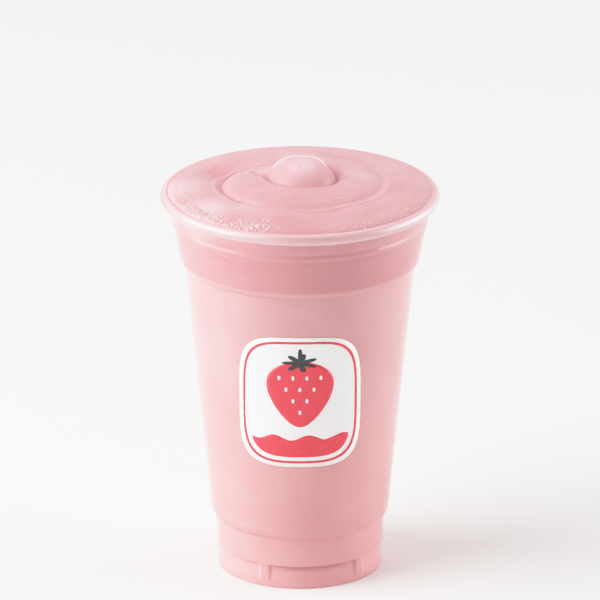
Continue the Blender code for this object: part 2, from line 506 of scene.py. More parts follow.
@dataclass(frozen=True)
class ClearPlastic:
    """Clear moulded plastic: glossy, a little hazy where it was handled."""

    tint: Colour = (0.985, 0.985, 0.99)
    clean: float = 0.08
    hazy: float = 0.15
    patch_scale: float = 45.0
    ior: float = 1.57
    collar_haze: float = 0.11
    collar_start: float = 124.0 * MM
    lip_haze: float = 0.09
    # A diffuse pink on the lip. It is full where drink clings to the bead's inner side. Elsewhere it is a
    # faint painted glow for the drink's light carried round the curl. The same colour paints a highlight
    # along the foot's bottom edge.
    film_and_glow: Colour = (0.80, 0.47, 0.49)
    lip_glow_share: float = 0.06
    lip_film_share: float = 0.8
    lip_film: Pair = (47.2 * MM, 48.6 * MM)
    lip_start: float = 135.4 * MM
    foot_highlight_share: float = 0.35
    foot_top: float = 1.3 * MM
    fade: float = 0.8 * MM

    def material(self) -> Material:
        """Makes the material; light passes through it to the drink, drink clings to the lip, and the lip's
        glow and the foot's edge highlight are painted.

        Returns:
            The material.
        """
        material, sheet, shader = new_material(Slot.CLEAR_PLASTIC.value)
        height = sheet.height()
        on_collar = sheet.ramp(height, self.collar_start - self.fade, self.collar_start)
        on_lip = sheet.ramp(height, self.lip_start - self.fade, self.lip_start)
        on_foot = sheet.ramp(height, self.foot_top, self.foot_top - self.fade)
        haze = HandlingHaze().place(sheet, Clean=self.clean, Hazy=self.hazy, Patch_Scale=self.patch_scale)
        roughness = haze["Roughness"]
        for zone, more in ((on_collar, self.collar_haze), (on_lip, self.lip_haze)):
            roughness = sheet.math("MULTIPLY_ADD", zone, more, roughness)
        sheet.feed(shader, Base_Color=self.tint, IOR=self.ior, Transmission_Weight=1.0, Roughness=roughness)
        # Painted light: the lip's faint diffuse glow and a painted highlight at the foot's bottom edge. The
        # fuller share inside the lip is drink clinging there.
        film = sheet.ramp(sheet.flat_distance(), self.lip_film[1], self.lip_film[0])
        share = sheet.math("MULTIPLY_ADD", film, self.lip_film_share, self.lip_glow_share)
        share = sheet.math("MULTIPLY_ADD", on_foot, self.foot_highlight_share, sheet.math("MULTIPLY", on_lip, share))
        body = sheet.mix(share, shader, sheet.add("BsdfDiffuse", Color=self.film_and_glow))
        path = sheet.add("LightPath").outputs
        lets_light_in = sheet.math("MAXIMUM", path["Is Shadow Ray"], path["Is Diffuse Ray"])
        mixed = sheet.mix(lets_light_in, body, sheet.add("BsdfTransparent", Color=self.tint))
        sheet.feed(material.node_tree.nodes["Material Output"], Surface=mixed.outputs[0])
        return material


@dataclass(frozen=True)
class BlendedDrink:
    """Strawberry smoothie: milky pink, softly lit from within, with a moist gloss.

    The soft patches are given as x, y, z, reach and strength, and the tints as the heights where
    they begin and where they are full, with lengths in millimetres.
    """

    light: Colour = (0.73, 0.362, 0.372)
    deep: Colour = (0.705, 0.335, 0.345)
    pulp: Colour = (0.60, 0.22, 0.24)
    cloud_scale: float = 55.0
    pulp_scale: float = 950.0
    pulp_share: float = 0.22
    # Partly the paler froth by the lip on the left, and partly painted light: paler patches where light
    # falls most, on the left and over the knob's top.
    pale: Colour = (0.86, 0.53, 0.54)
    painted_light_patches: Sequence[Patch] = (
        (-34.0, -26.0, 140.0, 14.0, 0.85),
        (-44.0, -2.0, 139.0, 14.0, 0.6),
        (-6.0, 2.0, 147.5, 4.0, 0.3),
        (1.0, -1.5, 146.5, 11.0, 0.8),
        (-18.0, -26.0, 144.0, 9.0, 0.35),
        (21.0, 5.0, 144.0, 8.0, 0.35),
        (-3.0, 27.0, 143.0, 7.0, 0.3),
    )
    # Painted shade: deeper patches in the hollow at the left back, and on the right and the front of the
    # mound.
    painted_shade: Colour = (0.68, 0.28, 0.30)
    painted_shade_patches: Sequence[Patch] = (
        (-29.0, 14.0, 141.0, 10.0, 0.6),
        (36.0, -6.0, 140.0, 12.0, 0.5),
        (-3.0, -37.0, 140.0, 16.0, 0.4),
    )
    patch_core: float = 0.2
    # Tints by height: warmer low in the cup; a painted highlight that brightens the foot; painted shade
    # that darkens the neck, with less of it on the collar; a little cooler on the mound.
    tints: Sequence[tuple[float, float, Colour]] = (
        (95.0, 45.0, (1.05, 0.985, 0.965)),
        (20.0, 17.0, (1.08, 1.03, 1.01)),
        (114.8, 115.8, (0.895, 0.745, 0.77)),
        (127.5, 128.5, (0.935, 0.845, 0.865)),
        (136.5, 137.5, (0.94, 0.95, 1.0)),
    )
    shaded: Colour = (0.50, 0.19, 0.20)
    under_ledge: Pair = (5.8 * MM, 7.8 * MM)
    under_ledge_radius: Pair = (28.0 * MM, 28.6 * MM)
    under_ledge_middle: Triple = (5.0 * MM, -27.5 * MM, 7.8 * MM)
    under_ledge_reach: Pair = (9.0 * MM, 17.0 * MM)
    under_ledge_share: float = 0.6
    # Painted highlight along the thin crest round the back of the knob's top.
    rim_highlight: Colour = (0.93, 0.71, 0.72)
    rim_middle: Pair = (0.2 * MM, 0.5 * MM)
    rim_radius: float = 8.8 * MM
    rim_width: Pair = (0.4 * MM, 1.5 * MM)
    rim_behind: float = 4.0 * MM
    rim_highlight_share: float = 0.9
    bubble_scale: float = 1300.0
    grain_scale: float = 800.0
    bump: float = 0.35
    relief: float = 0.10 * MM
    roughness: float = 0.38
    softness: float = 0.35
    soft_radius: Triple = (1.0, 0.5, 0.45)
    depth: float = 0.4 * MM

    def material(self) -> Material:
        """Makes the material; painted shade darkens the neck and the collar, a painted highlight brightens
        the foot, and the mound's a little cooler.

        Returns:
            The material.
        """
        material, sheet, shader = new_material(Slot.SMOOTHIE.value)
        scales = {"Cloud_Scale": self.cloud_scale, "Pulp_Scale": self.pulp_scale}
        colours = {"Light": self.light, "Deep": self.deep, "Pulp": self.pulp}
        shade = BlendedColour().place(sheet, Pulp_Share=self.pulp_share, **colours, **scales)["Colour"]
        # Painted light and painted shade on the mound, as paler and deeper patches.
        for patches, colour in ((self.painted_light_patches, self.pale), (self.painted_shade_patches, self.painted_shade)):
            for *middle, reach, strength in patches:
                near = sheet.nearness(*in_mm(middle), reach * self.patch_core * MM, reach * MM)
                shade = sheet.blend(sheet.math("MULTIPLY", near, strength), shade, colour)
        height = sheet.height()
        shade = sheet.blend(self.under_the_ledge(sheet, height), shade, self.shaded)
        # Painted highlight on the knob's crest.
        shade = sheet.blend(self.rim_highlight_mask(sheet), shade, self.rim_highlight)
        # Painted shade on the neck and collar, and a painted highlight at the foot, set by height.
        tint = (1.0, 1.0, 1.0)
        for start, full, colour in self.tints:
            tint = sheet.blend(sheet.ramp(height, start * MM, full * MM), tint, colour)
        bubbles = FineBubbles().place(sheet, Bubble_Scale=self.bubble_scale, Grain_Scale=self.grain_scale)
        bump = sheet.add("Bump", Height=bubbles["Height"], Strength=self.bump, Distance=self.relief)
        sheet.feed(shader, Base_Color=sheet.vector("MULTIPLY", shade, tint), Normal=bump.outputs[0])
        sheet.feed(shader, Roughness=self.roughness, Subsurface_Weight=self.softness)
        sheet.feed(shader, Subsurface_Radius=self.soft_radius, Subsurface_Scale=self.depth)
        return material

    def under_the_ledge(self, sheet: NodeSheet, height: NodeSocket) -> NodeSocket:
        """Masks the shaded top of the foot's front panel.

        Args:
            sheet: the material's nodes.
            height: the height on the drink.

        Returns:
            The mask, 1 where the shade is full.
        """
        near = sheet.nearness(self.under_ledge_middle, *self.under_ledge_reach)
        inside = sheet.ramp(sheet.flat_distance(), self.under_ledge_radius[1], self.under_ledge_radius[0])
        up = sheet.math("MULTIPLY", sheet.ramp(height, *self.under_ledge), self.under_ledge_share)
        return sheet.math("MULTIPLY", up, sheet.math("MULTIPLY", near, inside))

    def rim_highlight_mask(self, sheet: NodeSheet) -> NodeSocket:
        """Masks a painted highlight along the thin rim round the back of the knob's top.

        Args:
            sheet: the material's nodes.

        Returns:
            The mask, 1 where the painted highlight is brightest.
        """
        beside = sheet.math("SUBTRACT", sheet.flat_distance(self.rim_middle), self.rim_radius)
        narrow = sheet.ramp(sheet.math("ABSOLUTE", beside), self.rim_width[1], self.rim_width[0])
        back = sheet.add("SeparateXYZ", Vector=sheet.where()).outputs["Y"]
        behind = sheet.ramp(back, 0.0, self.rim_behind)
        return sheet.math("MULTIPLY", sheet.math("MULTIPLY", narrow, self.rim_highlight_share), behind)


@dataclass(frozen=True)
class FineBits:
    """Froth or fruit in fine bits: two shades of a colour, in clouds and specks."""

    name: str
    light: Colour
    deep: Colour
    cloud_scale: float
    speck_scale: float
    speck_share: float
    surface: Mapping[str, object]

    def material(self) -> Material:
        """Makes the material.

        Returns:
            The material.
        """
        material, sheet, shader = new_material(self.name)
        scales = {"Cloud_Scale": self.cloud_scale, "Pulp_Scale": self.speck_scale}
        colours = {"Light": self.light, "Deep": self.deep, "Pulp": self.deep}
        colour = BlendedColour().place(sheet, Pulp_Share=self.speck_share, **colours, **scales)["Colour"]
        sheet.feed(shader, Base_Color=colour, **self.surface)
        return material


@dataclass(frozen=True)
class SatinCoat:
    """Satin ink on the cup, or the studio's floor: two near shades in hazy patches."""

    name: str
    colour: Colour
    thin: Colour
    clean: float = 0.22
    hazy: float = 0.38
    patch_scale: float = 300.0

    def material(self) -> Material:
        """Makes the material.

        Returns:
            The material.
        """
        material, sheet, shader = new_material(self.name)
        haze = HandlingHaze().place(sheet, Clean=self.clean, Hazy=self.hazy, Patch_Scale=self.patch_scale)
        colour = sheet.blend(haze["Haze"], self.colour, self.thin)
        sheet.feed(shader, Base_Color=colour, Roughness=haze["Roughness"])
        return material


WET_FROTH = FineBits(
    Slot.FROTH.value,
    light=(0.80, 0.46, 0.47),
    deep=(0.74, 0.385, 0.395),
    cloud_scale=400.0,
    speck_scale=1500.0,
    speck_share=0.2,
    surface={
        "Roughness": 0.36,
        "Subsurface_Weight": 0.3,
        "Subsurface_Radius": (1.0, 0.6, 0.55),
        "Subsurface_Scale": 0.8 * MM,
        "Coat_Weight": 0.12,
        "Coat_Roughness": 0.15,
    },
)
FRUIT_FLECK = FineBits(
    Slot.FLECKS.value,
    light=(0.66, 0.27, 0.28),
    deep=(0.54, 0.17, 0.18),
    cloud_scale=250.0,
    speck_scale=2500.0,
    speck_share=0.5,
    surface={"Roughness": 0.4},
)
WHITE_INK = SatinCoat(Slot.WHITE_PRINT.value, colour=(0.92, 0.90, 0.895), thin=(0.89, 0.87, 0.865))
RED_INK = SatinCoat(Slot.RED_PRINT.value, colour=(0.84, 0.060, 0.090), thin=(0.80, 0.055, 0.082))
DARK_INK = SatinCoat(Slot.DARK_PRINT.value, colour=(0.035, 0.035, 0.038), thin=(0.05, 0.05, 0.052))
PALE_FLOOR = SatinCoat(
    "pale_floor",
    colour=(0.88, 0.873, 0.865),
    thin=(0.86, 0.853, 0.845),
    clean=0.5,
    hazy=0.65,
    patch_scale=4.0,
)


# The cup


@dataclass
class CupOutline:
    """Sizes of the cup that its wall, the drink and the print share."""

    height: float
    lip_radius: float
    wall: float = 0.45 * MM
    corner: float = 0.45 * MM
    stand_inner: float = 26.6 * MM
    stand_outer: float = 28.65 * MM
    stand_thickness: float = 0.25 * MM
    foot_radius: float = 29.05 * MM
    foot_rounding: float = 0.4 * MM
    foot_turns: Sequence[float] = (30.0, 60.0, 90.0)
    floor_radius: float = 25.2 * MM
    floor_underside: float = 3.0 * MM
    floor_steps: int = 6
    panels: int = 5
    panel_middle: float = math.radians(-79.6)
    panel_half_angle: float = math.radians(30.5)
    panel_side_angle: float = math.radians(3.0)
    panel_depth: float = 1.1 * MM
    panel_top: float = 8.8 * MM
    panel_floor_top: float = 8.0 * MM
    panel_fade: float = 1.4 * MM
    panel_reach: float = 26.8 * MM
    panel_columns: Sequence[int] = (62, 5, 6, 5)
    lip_bead_width: float = 3.8 * MM
    lip_bead_height: float = 4.0 * MM
    outer_wall: Knots = in_mm(
        (2.4, 29.05), (5.0, 29.15), (8.0, 29.3), (8.8, 29.5), (19.0, 29.8), (20.0, 30.85), (21.4, 31.4),
        (22.4, 31.55), (23.4, 31.5), (25.0, 31.75), (112.8, 40.48), (113.1, 40.7), (113.6, 41.6),
        (114.6, 42.15), (115.8, 42.4), (125.0, 43.9), (126.4, 44.4), (127.6, 44.4), (128.9, 44.95),
        (130.4, 44.6), (131.7, 45.05), (134.4, 45.3),
    )

    @classmethod
    def from_frame(cls) -> "CupOutline":
        """Takes the cup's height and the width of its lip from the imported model."""
        low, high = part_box("cup")
        return cls(height=high.z, lip_radius=max(high.x - low.x, high.y - low.y) / 2.0)

    def lip_point(self, turn: float, inset: float) -> Pair:
        """A point round the rolled lip.

        Args:
            turn: the angle from its outermost point, anticlockwise in the cross-section.
            inset: how far inside its outer skin the point lies.

        Returns:
            The point's (radius, height).
        """
        half_width, half_height = self.lip_bead_width / 2.0, self.lip_bead_height / 2.0
        across = self.lip_radius - half_width + (half_width - inset) * math.cos(turn)
        return across, self.height - half_height + (half_height - inset) * math.sin(turn)

    def foot_outside(self) -> list[Pair]:
        """The outside of the floor and foot.

        Returns:
            Its corners from the middle out, as (radius, height).
        """
        line = [(self.floor_radius, self.floor_underside), (self.stand_inner, 0.0), (self.stand_outer, 0.0)]
        for turn in np.radians(self.foot_turns):
            across = self.foot_radius - self.foot_rounding * (1.0 - math.sin(turn))
            line.append((across, self.foot_rounding * (1.0 - math.cos(turn))))
        return line

    def foot_inside(self, inset: float) -> list[Pair]:
        """The inside of the floor and foot.

        Args:
            inset: how far it lies from their outside.

        Returns:
            Its corners from the middle out, as (radius, height).
        """
        slope, stand = inset / 2.0, self.stand_thickness + inset - self.wall
        floor_edge = (self.floor_radius - slope, self.floor_underside + inset)
        return [floor_edge, (self.stand_inner + slope, stand), (self.stand_outer - slope, stand)]

    def section(self, foot: list[Pair], inset: float, lip: list[Pair]) -> np.ndarray:
        """A rounded cross-section, from the floor's edge up to the lip.

        Args:
            foot: its corners at the foot, as (radius, height).
            inset: how far it lies inside the wall's outside.
            lip: its corners at the lip.

        Returns:
            Rows of (radius, height).
        """
        side = [(radius - inset, height) for height, radius in self.outer_wall]
        return rounded_line([*foot, *side, *lip], self.corner)

    def floor_rows(self, edge: Pair) -> np.ndarray:
        """Rows of (radius, height) over a flat floor, from near its middle to just inside its edge."""
        share = np.linspace(1.0 / self.floor_steps, 1.0, self.floor_steps, endpoint=False)[:, None]
        return np.hstack([share * edge[0], np.full_like(share, edge[1])])

    def column_angles(self) -> np.ndarray:
        """The angles of the mesh's columns, closest together at the sides of the foot's panels.

        Returns:
            The angles, in order round the cup.
        """
        pitch = math.tau / self.panels
        floor, edge = self.panel_half_angle, self.panel_half_angle + self.panel_side_angle
        ends = (-floor, floor, edge, pitch - edge, pitch - floor)
        stretches = zip(ends, ends[1:], self.panel_columns)
        one = np.concatenate([np.linspace(a, b, n, endpoint=False) for a, b, n in stretches])
        return np.concatenate([one + self.panel_middle + pitch * i for i in range(self.panels)])

    def turned(self, profile: np.ndarray) -> np.ndarray:
        """Turns a cross-section about the axis and lets the foot's panels in.

        Args:
            profile: the cross-section as rows of (radius, height).

        Returns:
            Points as [row, column, xyz].
        """
        angle, radius, height = np.broadcast_arrays(self.column_angles(), profile[:, :1], profile[:, 1:])
        pitch = math.tau / self.panels
        from_middle = np.abs((angle - self.panel_middle + pitch / 2.0) % pitch - pitch / 2.0)
        edge = self.panel_half_angle + self.panel_side_angle
        beside = 1.0 - smooth_step(from_middle, self.panel_half_angle, edge)
        above = 1.0 - smooth_step(height, self.panel_floor_top, self.panel_top)
        fade = np.clip((height - self.panel_fade) / (self.panel_floor_top - self.panel_fade), 0.0, 1.0)
        recess = self.panel_depth * beside * above * fade
        radius = radius - np.where(radius > self.panel_reach, recess, 0.0)
        return np.stack([radius * np.cos(angle), radius * np.sin(angle), height], axis=-1)


@dataclass
class ClearCup:
    """The clear cup: a thin moulded wall with a raised floor, a panelled foot and a rolled lip."""

    outline: CupOutline
    curl_end: float = math.radians(-128.0)
    curl_steps: int = 22

    def profile(self) -> np.ndarray:
        """The wall's cross-section, from under the floor round to its top.

        Returns:
            Rows of (radius, height).
        """
        cup = self.outline
        outside = cup.section(cup.foot_outside(), 0.0, [cup.lip_point(math.pi, cup.wall)])
        inside = cup.section(cup.foot_inside(cup.wall), cup.wall, [cup.lip_point(math.pi, 0.0)])
        turns = np.linspace(math.pi, self.curl_end, self.curl_steps)
        curl_inside = [cup.lip_point(turn, cup.wall) for turn in turns]
        curl_outside = [cup.lip_point(turn, 0.0) for turn in turns[::-1]]
        under, top = cup.floor_rows(outside[0]), cup.floor_rows(inside[0])[::-1]
        return np.vstack([under, outside[:-1], curl_inside, curl_outside, inside[-2::-1], top])

    def build(self, finish: Material) -> None:
        """Builds the cup's wall in place of its solid.

        Args:
            finish: the clear plastic.
        """
        cup = self.outline
        poles = [(0.0, 0.0, cup.floor_underside), (0.0, 0.0, cup.floor_underside + cup.wall)]
        mesh = grid_mesh(cup.turned(self.profile()), poles)
        piece = add_piece("cup_wall", mesh, finish)
        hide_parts("cup")


# The drink


@dataclass
class Swirl:
    """The drink's surface: a mound with a groove that winds clockwise in to a knob.

    Turns along the groove are in degrees, and its knots give depths and widths in millimetres.
    """

    mound_radius: float = 46.4 * MM
    mound_edge: float = 138.4 * MM
    mound_rise: float = 4.6 * MM
    mound_roundness: float = 0.42
    swell_rise: float = 3.4 * MM
    swell_spread: float = 19.0 * MM
    knob_rise: float = 2.8 * MM
    knob_spread: float = 10.5 * MM
    knob_steepness: float = 4.6
    knob_centre: Pair = (0.5 * MM, 1.0 * MM)
    knob_tilt: float = 0.03 / MM
    ripple_length: float = 8.0 * MM
    ripple_height: float = 0.3 * MM
    groove_start: float = math.radians(112.0)
    groove_sweep: float = 678.0
    groove_step: float = 1.75
    outer_coil: float = 28.0 * MM
    swirl_shift: float = 0.7 * MM
    outer_end_flare: float = 12.3 * MM
    outer_end_fade: float = 22.0
    coil_crossing: Pair = (305.0, 405.0)
    inner_coil: float = 12.4 * MM
    inner_tightening: float = 0.8 * MM
    inner_end_flare: float = 6.5 * MM
    inner_end_turn: Pair = (648.0, 678.0)
    spur_length: float = 6.5 * MM
    spur_steps: int = 8
    groove_depths: Knots = (
        (0, 0.0), (60, 0.8), (200, 0.65), (300, 2.5), (400, 2.7),
        (480, 2.4), (562, 1.1), (640, 1.4), (678, 0.8),
    )
    groove_inner_width: float = 2.2 * MM
    groove_outer_widths: Knots = ((0, 2.6), (200, 2.6), (305, 7.0), (360, 8.0), (410, 2.8), (678, 2.6))
    groove_sharpness: float = 1.3
    crease_growth: float = 0.08 / MM
    crease_width: float = 0.7 * MM
    berm_height: float = 0.28 * MM
    berm_gap: float = 2.6 * MM
    berm_width: float = 0.9 * MM
    crest_centre: Pair = (0.2 * MM, 0.5 * MM)
    crest_height: float = 0.75 * MM
    crest_radius: float = 8.8 * MM
    crest_width: float = 0.6 * MM
    crest_middle: float = math.radians(97.0)
    crest_half_angle: float = math.radians(98.0)
    crest_full: float = 0.6
    hollow_centre: Pair = (-28.0 * MM, 14.0 * MM)
    hollow_depth: float = 1.6 * MM
    hollow_spread: float = 8.0 * MM
    swell_length: float = 17.0 * MM
    swell_height: float = 0.45 * MM
    streak_height: float = 0.11 * MM
    streak_gap: float = 1.6 * MM
    streak_slant: float = 0.9
    streak_change: float = 2.2
    grain_height: float = 0.05 * MM
    grain_length: float = 1.4 * MM

    def groove_line(self) -> np.ndarray:
        """Points along the groove.

        Returns:
            Rows of x, y, radius, depth and the width of its outer slope.
        """
        wound = np.arange(0.0, self.groove_sweep + self.groove_step / 2.0, self.groove_step)
        beyond = np.linspace(0.0, 1.0, self.spur_steps + 1)[1:]
        turned = np.concatenate([wound, np.full_like(beyond, self.groove_sweep)])
        spur = np.concatenate([np.zeros_like(wound), beyond])
        outer = self.outer_coil + self.outer_end_flare * np.exp(-turned / self.outer_end_fade)
        inward = smooth_step(turned, *self.coil_crossing)
        tighter = smooth_step(turned, self.coil_crossing[1], self.inner_end_turn[0])
        opened = self.inner_end_flare * smooth_step(turned, *self.inner_end_turn)
        inner = self.inner_coil - self.inner_tightening * tighter + opened
        radius = outer + (inner - outer) * inward + self.spur_length * spur
        angle = self.groove_start - np.radians(turned)
        depth = between(turned, self.groove_depths) * MM * (1.0 - spur)
        slope = between(turned, self.groove_outer_widths) * MM
        x = radius * np.cos(angle) + self.swirl_shift
        return np.stack([x, radius * np.sin(angle), radius, depth, slope], axis=-1)

    def height(self, x: np.ndarray, y: np.ndarray) -> np.ndarray:
        """The surface's height above the table.

        Args:
            x: the points' places to the right of the axis.
            y: the points' places behind the axis.

        Returns:
            The height at each point, before the fine grain.
        """
        radius = np.hypot(x, y)
        from_knob = np.hypot(x - self.knob_centre[0], y - self.knob_centre[1])
        from_hollow = np.hypot(x - self.hollow_centre[0], y - self.hollow_centre[1])
        inside = np.clip(1.0 - (radius / self.mound_radius) ** 2, 0.0, 1.0)
        crown = self.mound_rise * inside**self.mound_roundness
        swell = self.swell_rise * bell(radius, self.swell_spread)
        knob = self.knob_rise * bell(from_knob, self.knob_spread, self.knob_steepness)
        knob = knob * (1.0 + self.knob_tilt * (y - self.knob_centre[1]))
        hollow = self.hollow_depth * bell(from_hollow, self.hollow_spread)
        raised = self.mound_edge + crown + swell + knob + self.crest(x, y) + self.ripple(x, y)
        return raised - self.cut(x, y) - hollow

    def cut(self, x: np.ndarray, y: np.ndarray) -> np.ndarray:
        """How far the groove cuts in: a wide valley with a narrow crease, and a low berm beside it.

        Args:
            x: the points' places to the right of the axis.
            y: the points' places behind the axis.

        Returns:
            The depth at each point.
        """
        from_swirl = np.hypot(x - self.swirl_shift, y)
        valley, crease, berm = np.zeros_like(x), np.zeros_like(x), np.zeros_like(x)
        nearest = np.full_like(x, self.mound_radius)
        for groove_x, groove_y, groove_r, depth, slope in self.groove_line():
            away = np.hypot(x - groove_x, y - groove_y)
            outside = from_swirl >= groove_r
            width = np.where(outside, slope, self.groove_inner_width)
            valley = np.maximum(valley, depth * bell(away, width, self.groove_sharpness))
            crease = np.maximum(crease, depth**2 * self.crease_growth * bell(away, self.crease_width))
            beside = bell(away - self.berm_gap, self.berm_width) * outside * (depth > 0.0)
            berm = np.where(away < nearest, self.berm_height * beside, berm)
            nearest = np.minimum(nearest, away)
        return valley + crease - berm

    def crest(self, x: np.ndarray, y: np.ndarray) -> np.ndarray:
        """A thin raised lip round the back of the knob's top.

        Args:
            x: the points' places to the right of the axis.
            y: the points' places behind the axis.

        Returns:
            How far it rises at each point.
        """
        right, behind = x - self.crest_centre[0], y - self.crest_centre[1]
        reach = bell(np.hypot(right, behind) - self.crest_radius, self.crest_width)
        turned = np.abs((np.arctan2(behind, right) - self.crest_middle + math.pi) % math.tau - math.pi)
        ends = smooth_step(turned, self.crest_half_angle * self.crest_full, self.crest_half_angle)
        return self.crest_height * reach * (1.0 - ends)

    def ripple(self, x: np.ndarray, y: np.ndarray) -> np.ndarray:
        """Slow unevenness of the surface: small ripples on longer swells.

        Args:
            x: the points' places to the right of the axis.
            y: the points' places behind the axis.

        Returns:
            How far it rises or falls at each point.
        """
        heights = []
        for place in (Vector((a, b, 0.0)) for a, b in zip(x.ravel(), y.ravel())):
            small = self.ripple_height * noise.noise(place / self.ripple_length)
            heights.append(small + self.swell_height * noise.noise(place / self.swell_length))
        fade = smooth_step(self.mound_radius - np.hypot(x, y), 0.0, self.ripple_length)
        return np.array(heights).reshape(x.shape) * fade

    def grain(self, x: np.ndarray, y: np.ndarray) -> np.ndarray:
        """Fine streaks along the swirl, and a soft grain.

        Args:
            x: the points' places to the right of the axis.
            y: the points' places behind the axis.

        Returns:
            How far they rise or fall at each point.
        """
        radius, angle, heights = np.hypot(x, y), np.arctan2(y, x), []
        for px, py, r, a in zip(x.ravel(), y.ravel(), radius.ravel(), angle.ravel()):
            wound = r / self.streak_gap + a * self.streak_slant
            around = (wound, self.streak_change * math.cos(a), self.streak_change * math.sin(a))
            soft = noise.noise(Vector((px, py, 0.0)) / self.grain_length)
            heights.append(self.streak_height * noise.noise(Vector(around)) + self.grain_height * soft)
        return np.array(heights).reshape(x.shape)


@dataclass
class SmoothieFill:
    """The smoothie: it fills the cup, just into the wall, and stands above the lip in a swirl."""

    outline: CupOutline
    swirl: Swirl
    into_wall: float = 0.1 * MM
    up_the_lip: Sequence[float] = tuple(math.radians(turn) for turn in (180.0, 160.0, 140.0, 122.0, 105.0))
    ring: float = 0.34 * MM

    def build(self, finish: Material) -> None:
        """Builds the drink in place of its solid.

        Args:
            finish: the smoothie's.
        """
        cup = self.outline
        inset = cup.wall - self.into_wall
        rise = [cup.lip_point(turn, self.into_wall) for turn in self.up_the_lip]
        side = cup.section(cup.foot_inside(inset), inset, rise)
        rings = np.arange(side[-1, 0] - self.ring, self.ring, -self.ring)
        angles = cup.column_angles()
        x, y = np.outer(rings, np.cos(angles)), np.outer(rings, np.sin(angles))
        top = np.stack([x, y, self.swirl.height(x, y) + self.swirl.grain(x, y)], axis=-1)
        middle = float(self.swirl.height(np.zeros(1), np.zeros(1))[0])
        poles = [(0.0, 0.0, cup.floor_underside + inset), (0.0, 0.0, middle)]
        wall = cup.turned(np.vstack([cup.floor_rows(side[0]), side]))
        mesh = grid_mesh(np.concatenate([wall, top]), poles)
        piece = add_piece("smoothie_fill", mesh, finish)
        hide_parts("smoothie")

    def wall_radius(self, height: float) -> float:
        """The radius of the drink's side at a height, under the plastic."""
        return float(between(height, self.outline.outer_wall)) - self.outline.wall + self.into_wall


@dataclass
class RimFroth:
    """Small wet bubbles where the drink meets the lip, thickest left and right of the front.

    Each bank is given by the angle of its middle and its spread in degrees, its share of the bubbles
    and their scale.
    """

    swirl: Swirl
    seed: int = 7
    count: int = 420
    detail: int = 2
    edge: float = 46.5 * MM
    spread: float = 2.0 * MM
    smallest: float = 0.35 * MM
    largest: float = 0.85 * MM
    small_bias: float = 1.5
    sunk: float = 0.76
    banks: Sequence[tuple[float, float, float, float]] = (
        (-142.0, 11.0, 0.44, 1.4),
        (-113.0, 6.0, 0.16, 1.9),
        (-64.0, 7.0, 0.13, 0.9),
        (-30.0, 16.0, 0.27, 0.9),
    )

    def build(self, finish: Material) -> None:
        """Builds the froth as one joined mesh.

        Args:
            finish: the froth's.
        """
        draw = np.random.default_rng(self.seed)
        middles, spreads, shares, scales = np.array(self.banks).T
        bank = draw.choice(len(self.banks), self.count, p=shares)
        angle = np.radians(draw.normal(middles[bank], spreads[bank]))
        size = self.smallest + (self.largest - self.smallest) * draw.random(self.count) ** self.small_bias
        size = size * scales[bank]
        radius = self.edge - np.abs(draw.normal(0.0, self.spread, self.count)) - size
        x, y = radius * np.cos(angle), radius * np.sin(angle)
        z = self.swirl.height(x, y) - size * self.sunk
        places = [Matrix.Translation(p) @ Matrix.Scale(s, 4) for *p, s in zip(x, y, z, size)]
        add_piece("rim_froth", balls_mesh(self.detail, places), finish)


